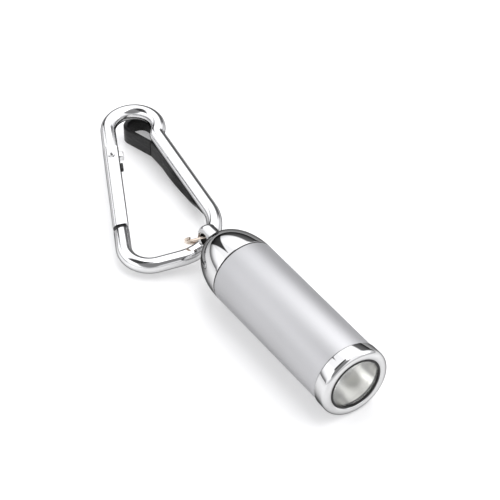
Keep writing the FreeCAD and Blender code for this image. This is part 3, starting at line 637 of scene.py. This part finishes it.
# ---------------------------------------------------------------- split ring
# Spring-steel wire wound twice on itself, plated; the far end steps over from one layer to the
# next, which leaves the two ends to be prised open.
Z = Vector((0, 0, 1))
ring_middle = Vector((-72.1, 1.69, -4.46)) * mm
ring_normal = Vector((0.6256, -0.3826, -0.6799)).normalized()
ring_r = 6.335 * mm
wire_r = 0.36 * mm
layer = 2 * wire_r
step_angle = 60.0
step_count = 12
level_count = 75
ends_angle = 200
bpy.ops.object.select_all(action="DESELECT")
bpy.ops.mesh.primitive_circle_add(vertices=20, radius=wire_r, location=(ring_r, 0, -layer / 2),
                                  rotation=(math.pi / 2, 0, 0))
key_ring = bpy.context.object
key_ring.name = "key_ring"
bpy.ops.object.transform_apply()
bpy.ops.object.mode_set(mode="EDIT")
bpy.ops.mesh.select_all(action="SELECT")
level_angle = math.radians(360 - step_angle)
bpy.ops.mesh.spin(steps=level_count, angle=level_angle, center=(0, 0, 0), axis=(0, 0, -1))
risen = 0.0
for number in range(1, step_count + 1):
    bpy.ops.mesh.spin(steps=1, angle=math.radians(step_angle / step_count), center=(0, 0, 0),
                      axis=(0, 0, -1))
    climb = layer * (0.5 - math.cos(math.pi * number / step_count) / 2)
    bpy.ops.transform.translate(value=(0, 0, climb - risen))
    risen = climb
bpy.ops.mesh.spin(steps=level_count, angle=level_angle, center=(0, 0, 0), axis=(0, 0, -1))
bpy.ops.mesh.select_all(action="SELECT")
bpy.ops.mesh.remove_doubles(threshold=1e-7)
bpy.ops.mesh.fill_holes(sides=0)
bpy.ops.mesh.normals_make_consistent(inside=False)
bpy.ops.object.mode_set(mode="OBJECT")
lay_down = Z.rotation_difference(ring_normal).to_matrix().to_4x4()
key_ring.matrix_world = (Matrix.Translation(ring_middle) @ lay_down
                         @ Matrix.Rotation(math.radians(ends_angle), 4, "Z"))
only(key_ring)
bpy.ops.object.transform_apply()
soften(key_ring, 0.1 * mm, segments=2, angle=50)
nickel = Finish("nickel_plate", Metallic=1.0, Roughness=0.12)
tarnish = nickel.noise(nickel.place(), scale=700, detail=3)
nickel.feed("Base Color", nickel.mix(tarnish, (0.62, 0.50, 0.40, 1), (0.80, 0.72, 0.64, 1)))
nickel.feed("Roughness", 0.10 + 0.12 * tarnish)
nickel.on(key_ring)
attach(key_ring, "ring")
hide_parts("split_ring")

# ---------------------------------------------------------------- carabiner bar
# One length of 4.5 mm round aluminium bar, bent in four places on rollers and polished.  Its
# nose is cut on the slant for the gate; its other end carries the gate's flat tongue.
gate_joint = [joint for joint in frame["joints"] if joint["name"] == "gate_open"][0]
pivot = Vector(gate_joint["pos_m"])
clip_up = Vector(gate_joint["axis"]).normalized()
# the clip is drawn flat, with its length along x, and then laid along this direction
clip_along = Vector((-0.980097, -0.190511, 0.0558215))
clip_along = (clip_along - clip_up * clip_along.dot(clip_up)).normalized()
clip_across = clip_up.cross(clip_along)
flat_pivot = Vector((43.174, -5.6653, 0)) * mm
clip_origin = pivot - clip_along * flat_pivot.x - clip_across * flat_pivot.y
clip_frame = Matrix((
    (clip_along.x, clip_across.x, clip_up.x, clip_origin.x),
    (clip_along.y, clip_across.y, clip_up.y, clip_origin.y),
    (clip_along.z, clip_across.z, clip_up.z, clip_origin.z),
    (0, 0, 0, 1)))
gate_line = Vector((-0.798512, 0.601979, 0))
gate_in = Vector((-0.601979, -0.798512, 0))
gate_frame = clip_frame @ Matrix((
    (gate_line.x, gate_in.x, 0, flat_pivot.x), (gate_line.y, gate_in.y, 0, flat_pivot.y),
    (0, 0, 1, 0), (0, 0, 0, 1)))
bar_r = 2.25 * mm
gate_reach = 27.9 * mm
nose_gap = 1.0 * mm

# what the bender does after the nose, in mm: straight runs, and bends as (radius, degrees to
# the left)
BENDS = [(7.6, 100.4061), 6.5195, (13.5, 99.2052), 33.5002, (3.0, -38.4037), (7.4, 198.7924), 8.6]

spot = flat_pivot + gate_line * gate_reach
heading = gate_line.copy()
first_run = 7.5257 * mm
bpy.ops.object.select_all(action="DESELECT")
bpy.ops.mesh.primitive_circle_add(vertices=64, radius=bar_r, location=(0, 0, 0))
bar = bpy.context.object
bar.name = "clip_bar"
bar.matrix_world = Matrix.Translation(spot) @ Z.rotation_difference(heading).to_matrix().to_4x4()
bpy.ops.object.transform_apply()
bpy.ops.object.mode_set(mode="EDIT")
bpy.ops.mesh.select_all(action="SELECT")
bpy.ops.mesh.extrude_edges_move(TRANSFORM_OT_translate={"value": heading * first_run})
spot = spot + heading * first_run
nose_lean = math.radians(11)
nose_face = gate_line * math.cos(nose_lean) + gate_in * math.sin(nose_lean)
nose_point = flat_pivot + gate_line * (gate_reach + nose_gap)
bpy.ops.mesh.select_all(action="SELECT")
bpy.ops.mesh.bisect(plane_co=nose_point, plane_no=nose_face, use_fill=True, clear_inner=True)
bpy.ops.object.mode_set(mode="OBJECT")


def at_spot(a, b):
    """An edge of the bar's end ring, where the bender has got to."""
    return all(abs((end - spot).dot(heading)) < same_place for end in (a, b))


pick(bar, "EDGE", at_spot)
for bend in BENDS:
    if isinstance(bend, tuple):
        radius, degrees = bend[0] * mm, bend[1]
        side = 1 if degrees > 0 else -1
        left = Z.cross(heading)
        middle_of_bend = spot + left * radius * side
        bent = math.radians(degrees)
        bpy.ops.mesh.spin(steps=max(8, int(abs(degrees) / 4)), angle=abs(bent),
                          center=middle_of_bend, axis=(0, 0, -side))
        rotation = Matrix.Rotation(bent, 3, "Z")
        spot = middle_of_bend + rotation @ (spot - middle_of_bend)
        heading = rotation @ heading
    else:
        run = heading * bend * mm
        bpy.ops.mesh.extrude_edges_move(TRANSFORM_OT_translate={"value": run})
        spot = spot + run
bpy.ops.mesh.select_all(action="SELECT")
bpy.ops.mesh.remove_doubles(threshold=1e-7)
bpy.ops.mesh.fill_holes(sides=0)
bpy.ops.mesh.normals_make_consistent(inside=False)
bpy.ops.object.mode_set(mode="OBJECT")
bar.matrix_world = clip_frame
only(bar)
bpy.ops.object.transform_apply()
soften(bar, 0.22 * mm, segments=3, angle=40)

# ---------------------------------------------------------------- tongue and gate stop
# The bar's far end is milled to a flat tongue, round-ended and drilled for the gate's pin.  The
# stop is a small block on its inner side, which the gate's channel closes over.
tongue_r = 1.45 * mm
tongue_half = 1.0 * mm
tongue_len = 6.6 * mm
pin_hole_r = 0.74 * mm
bpy.ops.mesh.primitive_cube_add(size=1, location=(tongue_r - tongue_len / 2, 0, 0),
                                scale=(tongue_len, tongue_r * 2, tongue_half * 2))
tongue = bpy.context.object
tongue.name = "clip_tongue"
bpy.ops.object.transform_apply()


def end_corner(a, b):
    """An upright edge at the tongue's free end."""
    return all(abs(end.x - tongue_r) < same_place for end in (a, b)) and abs(a.y - b.y) < same_place


pick(tongue, "EDGE", end_corner)
bpy.ops.mesh.bevel(offset=tongue_r * 0.98, segments=10, affect="EDGES")
bpy.ops.object.mode_set(mode="OBJECT")
bpy.ops.mesh.primitive_cylinder_add(vertices=40, radius=pin_hole_r, depth=tongue_half * 6,
                                    location=(0, 0, 0))
carve(tongue, bpy.context.object)
tongue.matrix_world = gate_frame
only(tongue)
bpy.ops.object.transform_apply()
soften(tongue, 0.1 * mm, segments=2, angle=40)
stop_x = -1.4 * mm
stop_len = 2.2 * mm
stop_out = 3.5 * mm
bpy.ops.mesh.primitive_cube_add(size=1, location=(stop_x, (tongue_r + stop_out) / 2, 0),
                                scale=(stop_len, stop_out - tongue_r * 0.9, tongue_half * 2))
block = bpy.context.object
block.name = "clip_stop"
bpy.ops.object.transform_apply()
block.matrix_world = gate_frame
only(block)
bpy.ops.object.transform_apply()
soften(block, 0.35 * mm, segments=4, angle=40)

polish = Finish("polished_aluminium", Metallic=1.0, Specular_Tint=grey(0.06))
along_bar = polish.place()
wipe = polish.noise(along_bar, scale=260, detail=4)
polish.feed("Base Color", polish.mix(wipe, grey(0.66), grey(0.74, (1, 1, 1.01))))
polish.feed("Roughness", 0.06 + 0.09 * wipe.step(0.3, 0.8))
roller_marks = polish.noise(along_bar, scale=900, detail=3)
polish.feed("Normal", polish.bump(roller_marks, strength=0.10, distance=0.012 * mm))
polish.on(bar, tongue, block)
for piece in (bar, tongue, block):
    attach(piece, "carabiner")
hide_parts("carabiner_body")

# ---------------------------------------------------------------- carabiner gate
# A length of the same bar milled to a channel, so that its two walls straddle the tongue.  Its
# inner corners are chamfered, and its free end is cut on the slant to meet the nose.
gate_half = 2.3 * mm
gate_back = -3.95 * mm
uncut_end = gate_reach + 1.0 * mm
outer_round = 1.75 * mm
inner_chamfer = 1.15 * mm
channel_wide = 2.3 * mm
channel_floor = -1.6 * mm
channel_top = 5.6 * mm
gate_hole_r = 0.7 * mm
dish_r = 1.3 * mm
dish_out = 0.75 * mm
bpy.ops.object.select_all(action="DESELECT")
bpy.ops.mesh.primitive_cube_add(size=1, location=((uncut_end + gate_back) / 2, 0, 0),
                                scale=(uncut_end - gate_back, gate_half * 2, gate_half * 2))
gate = bpy.context.object
gate.name = "clip_gate"
bpy.ops.object.transform_apply()


def long_edge(a, b):
    """An edge that runs along the gate."""
    return abs(a.x - b.x) > mm and abs(a.y - b.y) < same_place and abs(a.z - b.z) < same_place


pick(gate, "EDGE", lambda a, b: long_edge(a, b) and a.y < 0)
bpy.ops.mesh.bevel(offset=outer_round, segments=12, affect="EDGES")
pick(gate, "EDGE", lambda a, b: long_edge(a, b) and a.y > gate_half * 0.99)
bpy.ops.mesh.bevel(offset=inner_chamfer, segments=2, affect="EDGES")
bpy.ops.object.mode_set(mode="OBJECT")
gate_lean = math.radians(6)
end_face = Vector((math.cos(gate_lean), math.sin(gate_lean), 0))
bisected(gate, Vector((gate_reach, 0, 0)), end_face)
bpy.ops.mesh.primitive_cube_add(size=1,
                                location=(gate_reach / 2, (channel_floor + channel_top) / 2, 0),
                                scale=(gate_reach * 2, channel_top - channel_floor, channel_wide))
carve(gate, bpy.context.object)
bpy.ops.mesh.primitive_cylinder_add(vertices=32, radius=gate_hole_r, depth=gate_half * 4,
                                    location=(0, 0, 0))
carve(gate, bpy.context.object)
for side in (-1, 1):
    bpy.ops.mesh.primitive_uv_sphere_add(segments=40, ring_count=20, radius=dish_r,
                                         location=(0, 0, side * (gate_half + dish_out)))
    carve(gate, bpy.context.object)
gate.matrix_world = gate_frame
only(gate)
bpy.ops.object.transform_apply()
soften(gate, 0.22 * mm, segments=3, angle=35)
polish.on(gate)
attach(gate, "gate")
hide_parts("carabiner_gate")

# ---------------------------------------------------------------- gate pin
# A plain drawn-steel rivet, pressed through the gate's two walls and the tongue, with a shallow
# dished face at each end.
pin_r = 0.69 * mm
pin_len = 3.7 * mm
pin_rim = 0.22 * mm
dished_share = 0.86
bpy.ops.mesh.primitive_cylinder_add(vertices=48, radius=pin_r, depth=pin_len, location=(0, 0, 0))
pin = bpy.context.object
pin.name = "gate_rivet"
pick(pin, "FACE", lambda centre, normal: abs(normal.z) > 0.9)
bpy.ops.mesh.inset(thickness=pin_rim)
bpy.ops.transform.resize(value=(1, 1, dished_share))
bpy.ops.object.mode_set(mode="OBJECT")
pin.matrix_world = gate_frame
only(pin)
bpy.ops.object.transform_apply()
soften(pin, 0.06 * mm, segments=2, angle=30)
steel = Finish("drawn_steel", Metallic=1.0, Roughness=0.25)
steel_noise = steel.noise(steel.place(), scale=1500, detail=3)
steel.feed("Base Color", steel.mix(steel_noise, grey(0.34), grey(0.50)))
steel.feed("Roughness", 0.2 + 0.15 * steel_noise)
steel.on(pin)
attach(pin, "carabiner")
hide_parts("gate_pin")

# ---------------------------------------------------------------- leaf spring's end, and painted shade at the nose
# A near-black block in the bottom of the gate's channel, its end at the stop, stands for the leaf
# spring's upturned end and also for the shade in the notch there.  A near-black disc in the gap
# between the gate's free end and the bar's nose is painted shade: it stands in for the shadow in
# that gap.
spring_x = 3.3 * mm
spring_y = 2.1 * mm
spring_size = (2.5 * mm, 1.9 * mm, 1.5 * mm)
shadow_disc_r = 1.95 * mm
shadow_disc_thick = 1.5 * mm
shadow_disc_x = gate_reach + 0.85 * mm
# painted shade in part: this near-black block stands for the spring's end and for the shade in the
# notch at the stop
bpy.ops.mesh.primitive_cube_add(size=1, location=(spring_x, spring_y, 0), scale=spring_size)
spring_end_and_notch_shade = bpy.context.object
spring_end_and_notch_shade.name = "spring_end_and_notch_shade"
bpy.ops.object.transform_apply()
spring_end_and_notch_shade.matrix_world = gate_frame
only(spring_end_and_notch_shade)
bpy.ops.object.transform_apply()
soften(spring_end_and_notch_shade, 0.3 * mm, segments=3, angle=40)
# painted shade: a near-black disc standing in for the shadow in the gap at the nose
bpy.ops.mesh.primitive_cylinder_add(vertices=48, radius=shadow_disc_r, depth=shadow_disc_thick,
                                    location=(shadow_disc_x, 0, 0), rotation=(0, math.pi / 2, 0))
nose_gap_shadow = bpy.context.object
nose_gap_shadow.name = "nose_gap_shadow_disc"
bpy.ops.object.transform_apply()
nose_gap_shadow.matrix_world = gate_frame
only(nose_gap_shadow)
bpy.ops.object.transform_apply()
soften(nose_gap_shadow, 0.1 * mm, segments=2, angle=40)
# near-black steel: the leaf spring's own finish, and painted shade on the block and the disc
black_steel_and_shade = Finish("blackened_steel_and_painted_shade", Metallic=0.4, Roughness=0.45)
black_steel_and_shade_noise = black_steel_and_shade.noise(black_steel_and_shade.place(), scale=1400, detail=3)
black_steel_and_shade.feed("Base Color", black_steel_and_shade.mix(black_steel_and_shade_noise, grey(0.008), grey(0.025)))
black_steel_and_shade.feed("Roughness", 0.35 + 0.2 * black_steel_and_shade_noise)
black_steel_and_shade.on(spring_end_and_notch_shade, nose_gap_shadow, frame["nodes"]["gate_spring"])
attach(spring_end_and_notch_shade, "gate")
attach(nose_gap_shadow, "carabiner")

# ---------------------------------------------------------------- strap
# A narrow strip of black glazed leather.  Its far end is folded into an eye, glued and stitched,
# and stands on edge under the clip's head; the rest turns flat and narrows towards its rivet.
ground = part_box("strap")[0].z
strap_wide = 5.0 * mm
leather_thick = 1.1 * mm
eye_middle = Vector((-128.4, 14.15, 0)) * mm
neck = Vector((-118.8, 12.75, 0)) * mm
rivet_head = 0.4 * mm
rivet_low, rivet_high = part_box("strap_rivet")
rivet_spot = (rivet_low + rivet_high) / 2
rivet_spot.z = 0
strap_under = rivet_low.z + rivet_head


def ribbon(name, stations):
    """A strip bridged through upright or leaning cross sections, then closed at both ends.

    Each station is (middle, heading, width, thickness, lean), with lean 90 standing on edge."""
    slices = []
    for centre, heading, width, thickness, lean in stations:
        flat = Vector((-heading.y, heading.x, 0)).normalized()
        angle = math.radians(lean)
        wide = flat * math.cos(angle) + Z * math.sin(angle)
        thin = heading.normalized().cross(wide)
        bpy.ops.object.select_all(action="DESELECT")
        bpy.ops.mesh.primitive_plane_add(size=1)
        piece = bpy.context.object
        bpy.ops.object.mode_set(mode="EDIT")
        bpy.ops.mesh.select_all(action="SELECT")
        bpy.ops.mesh.delete(type="ONLY_FACE")
        bpy.ops.object.mode_set(mode="OBJECT")
        side, up, ahead = wide * width, thin * thickness, heading.normalized()
        piece.matrix_world = Matrix(((side.x, up.x, ahead.x, centre.x),
                                     (side.y, up.y, ahead.y, centre.y),
                                     (side.z, up.z, ahead.z, centre.z), (0, 0, 0, 1)))
        bpy.ops.object.transform_apply()
        slices.append(piece)
    for piece in slices:
        piece.select_set(True)
    bpy.context.view_layer.objects.active = slices[0]
    bpy.ops.object.join()
    strip = bpy.context.object
    strip.name = name
    bpy.ops.object.mode_set(mode="EDIT")
    bpy.ops.mesh.select_all(action="SELECT")
    bpy.ops.mesh.bridge_edge_loops()
    bpy.ops.mesh.select_all(action="SELECT")
    bpy.ops.mesh.fill_holes(sides=0)
    bpy.ops.mesh.select_all(action="SELECT")
    bpy.ops.mesh.normals_make_consistent(inside=False)
    bpy.ops.object.mode_set(mode="OBJECT")
    return strip


# the eye: out along one side, round its far end and back to the neck
eye_axis = (neck - eye_middle).normalized()
eye_side = Vector((-eye_axis.y, eye_axis.x, 0))
eye_r = 4.0 * mm - leather_thick / 2
wrap_from = math.acos(0.30)
wrap_steps = 30
far_bulge = 1.33
run_shares = (0.0, 0.12, 0.3, 0.5, 0.7, 0.88)
eye_spots = []
for number in range(wrap_steps + 1):
    angle = wrap_from + (2 * math.pi - 2 * wrap_from) * number / wrap_steps
    bulge = 1.0 if math.sin(angle) > 0 else far_bulge
    eye_spots.append(eye_middle + eye_axis * math.cos(angle) * eye_r
                     + eye_side * math.sin(angle) * eye_r * bulge)
for end, side in ((0, 1), (-1, -1)):
    tip = neck + eye_side * side * leather_thick * 0.46
    touch = eye_spots[end]
    run = [tip + (touch - tip) * share for share in run_shares]
    eye_spots = run + eye_spots if end == 0 else eye_spots + run[::-1]
stations = []
for number, place in enumerate(eye_spots):
    before = eye_spots[max(0, number - 1)]
    after = eye_spots[min(len(eye_spots) - 1, number + 1)]
    stations.append((place + Z * (ground + strap_wide / 2), after - before, strap_wide,
                     leather_thick, 90))
strap_eye = ribbon("strap_eye", stations)
soften(strap_eye, 0.16 * mm, segments=2, angle=50)

# the tail: on edge at the neck, then turning flat and rising to the clip's spine.  Each row is
# how far along, the width's share, the lean in degrees and the layers of leather.
LIE = [(0, 1, 90, 1.9), (0.22, 0.94, 80, 1), (0.45, 0.80, 55, 1), (0.68, 0.72, 34, 1),
       (0.82, 0.70, 12, 1), (0.92, 0.68, 0, 1), (1, 0.60, 0, 1)]
tail_start = neck + eye_axis * 0.4 * mm
tail_steps = 48
off_ground = 0.12 * mm
lift_end = 0.92
lift_power = 4
lifted = strap_under + leather_thick / 2
stations = []
for number in range(tail_steps + 1):
    share = number / tail_steps
    row = max(index for index in range(len(LIE) - 1) if LIE[index][0] <= share)
    between = (share - LIE[row][0]) / (LIE[row + 1][0] - LIE[row][0])
    width, lean, layers = [LIE[row][column] + (LIE[row + 1][column] - LIE[row][column]) * between
                           for column in (1, 2, 3)]
    width *= strap_wide
    thick = leather_thick * layers
    angle = math.radians(lean)
    centre = tail_start.lerp(rivet_spot, share)
    resting = ground + width / 2 * math.sin(angle) + thick / 2 * math.cos(angle) + off_ground
    centre.z = resting + (lifted - resting) * min(1.0, share / lift_end) ** lift_power
    stations.append((centre, rivet_spot - tail_start, width, thick, lean))
strap_tail = ribbon("strap_tail", stations)
soften(strap_tail, 0.16 * mm, segments=2, angle=50)

# the rounded end of the tail, round its rivet
strap_end_r = strap_wide * LIE[-1][1] / 2
bpy.ops.mesh.primitive_cylinder_add(vertices=48, radius=strap_end_r, depth=leather_thick,
                                    location=rivet_spot + Z * lifted)
strap_end = bpy.context.object
strap_end.name = "strap_end"
bpy.ops.object.transform_apply()
soften(strap_end, 0.16 * mm, segments=2, angle=50)

# one stitch is a short length of waxed thread; five of them, set zigzag, close the eye's neck
stitches = []
stitch_count = 5
stitch_lean = math.radians(35)
stitch_out = leather_thick * 0.95
first_along = 0.6 * mm
zigzag = 0.55 * mm
first_up = 0.9 * mm
stitch_pitch = 0.85 * mm
wax_thread_r = 0.14 * mm
stitch_len = 1.3 * mm
tail_heading = (rivet_spot - tail_start).normalized()
tail_left = Z.cross(tail_heading)
bpy.ops.mesh.primitive_cylinder_add(vertices=12, radius=wax_thread_r, depth=stitch_len,
                                    location=(0, 0, 0))
stitch = bpy.context.object
stitch.name = "strap_stitch_1"
soften(stitch, 0.08 * mm, segments=2, angle=40)
for number in range(stitch_count):
    piece = stitch
    if number:
        only(stitch)
        bpy.ops.object.duplicate()
        piece = bpy.context.object
        piece.name = "strap_stitch_%d" % (number + 1)
    stitches.append(piece)
for number, piece in enumerate(stitches):
    spot = (tail_start + tail_heading * (first_along + zigzag * (number % 2))
            + tail_left * stitch_out + Z * (ground + first_up + stitch_pitch * number))
    only(piece)
    piece.matrix_world = Matrix.Translation(spot) @ Matrix.Rotation(stitch_lean, 4, tail_left)
    bpy.ops.object.transform_apply()

leather = Finish("black_leather", Specular_IOR_Level=0.28)
tail_turn = math.atan2(tail_heading.y, tail_heading.x)
along_strap = leather.place(scale=(0.12, 1.0, 1.0), turn=(0, 0, -tail_turn))
streak = leather.noise(along_strap, scale=1500, detail=4)
pores = leather.noise(leather.place(), scale=2600, detail=3, rough=0.65)
leather.feed("Base Color", leather.mix(streak.step(0.40, 0.75), grey(0.004), grey(0.028)))
leather.feed("Roughness", 0.24 + 0.22 * pores + 0.10 * streak)
creases = leather.bump(streak, strength=0.25, distance=0.05 * mm)
leather.feed("Normal", leather.bump(pores, strength=0.35, distance=0.03 * mm, normal=creases))
leather.on(strap_eye, strap_tail, strap_end)
thread = Finish("waxed_thread", Roughness=0.55)
twist = thread.noise(thread.place(scale=(1, 1, 0.4)), scale=4000, detail=2)
thread.feed("Base Color", thread.mix(twist, grey(0.02), grey(0.07)))
thread.on(*stitches)
for piece in [strap_eye, strap_tail, strap_end] + stitches:
    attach(piece, "carabiner")
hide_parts("strap")

# ---------------------------------------------------------------- strap rivet
# A steel tubular rivet: its flat head lies under the strap and its shank runs up into the bar.
rivet_head_r = 1.3 * mm
rivet_shoulder = 0.6 * mm
bpy.ops.mesh.primitive_cylinder_add(vertices=48, radius=rivet_head_r, depth=rivet_head,
                                    location=rivet_spot + Z * (strap_under - rivet_head / 2))
rivet = bpy.context.object
rivet.name = "strap_stud"
bpy.ops.object.transform_apply()
pick(rivet, "FACE", lambda centre, normal: normal.z > 0.9)
bpy.ops.mesh.inset(thickness=rivet_shoulder)
bpy.ops.mesh.extrude_region_move(
    TRANSFORM_OT_translate={"value": (0, 0, rivet_high.z - strap_under)})
bpy.ops.object.mode_set(mode="OBJECT")
soften(rivet, 0.1 * mm, segments=2, angle=40)
steel.on(rivet)
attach(rivet, "carabiner")
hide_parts("strap_rivet")

# ---------------------------------------------------------------- inside pieces
# What fills the barrel and never shows: the seals, the lamp's board and holder, the cells in
# their sleeve, and the brass contacts.
rubber_and_seam_shade.on(frame["nodes"]["head_oring"], frame["nodes"]["tail_oring"])
steel.on(frame["nodes"]["tail_spring"])
lacquer = Finish("white_board", Roughness=0.35)
lacquer_noise = lacquer.noise(lacquer.place(), scale=800)
lacquer.feed("Base Color", lacquer.mix(lacquer_noise, grey(0.72), grey(0.80)))
lacquer.on(frame["nodes"]["led_board"])
moulded = Finish("black_moulding", Roughness=0.5)
moulded_noise = moulded.noise(moulded.place(), scale=1200)
moulded.feed("Base Color", moulded.mix(moulded_noise, grey(0.03), grey(0.05)))
moulded.on(frame["nodes"]["lamp_holder"], frame["nodes"]["battery_sleeve"])
brass = Finish("brass_contact", Metallic=1.0, Roughness=0.25)
brass_noise = brass.noise(brass.place(), scale=900)
brass.feed("Base Color", brass.mix(brass_noise, (0.62, 0.45, 0.18, 1), (0.80, 0.62, 0.30, 1)))
brass.on(frame["nodes"]["board_contact"], frame["nodes"]["tail_plate"])
can = Finish("cell_can", Metallic=1.0, Roughness=0.28)
can.feed("Base Color", can.mix(can.noise(can.place(), scale=700), grey(0.55), grey(0.68)))
cell_count = 4
can.on(*[frame["nodes"]["cell_%d" % (number + 1)] for number in range(cell_count)])
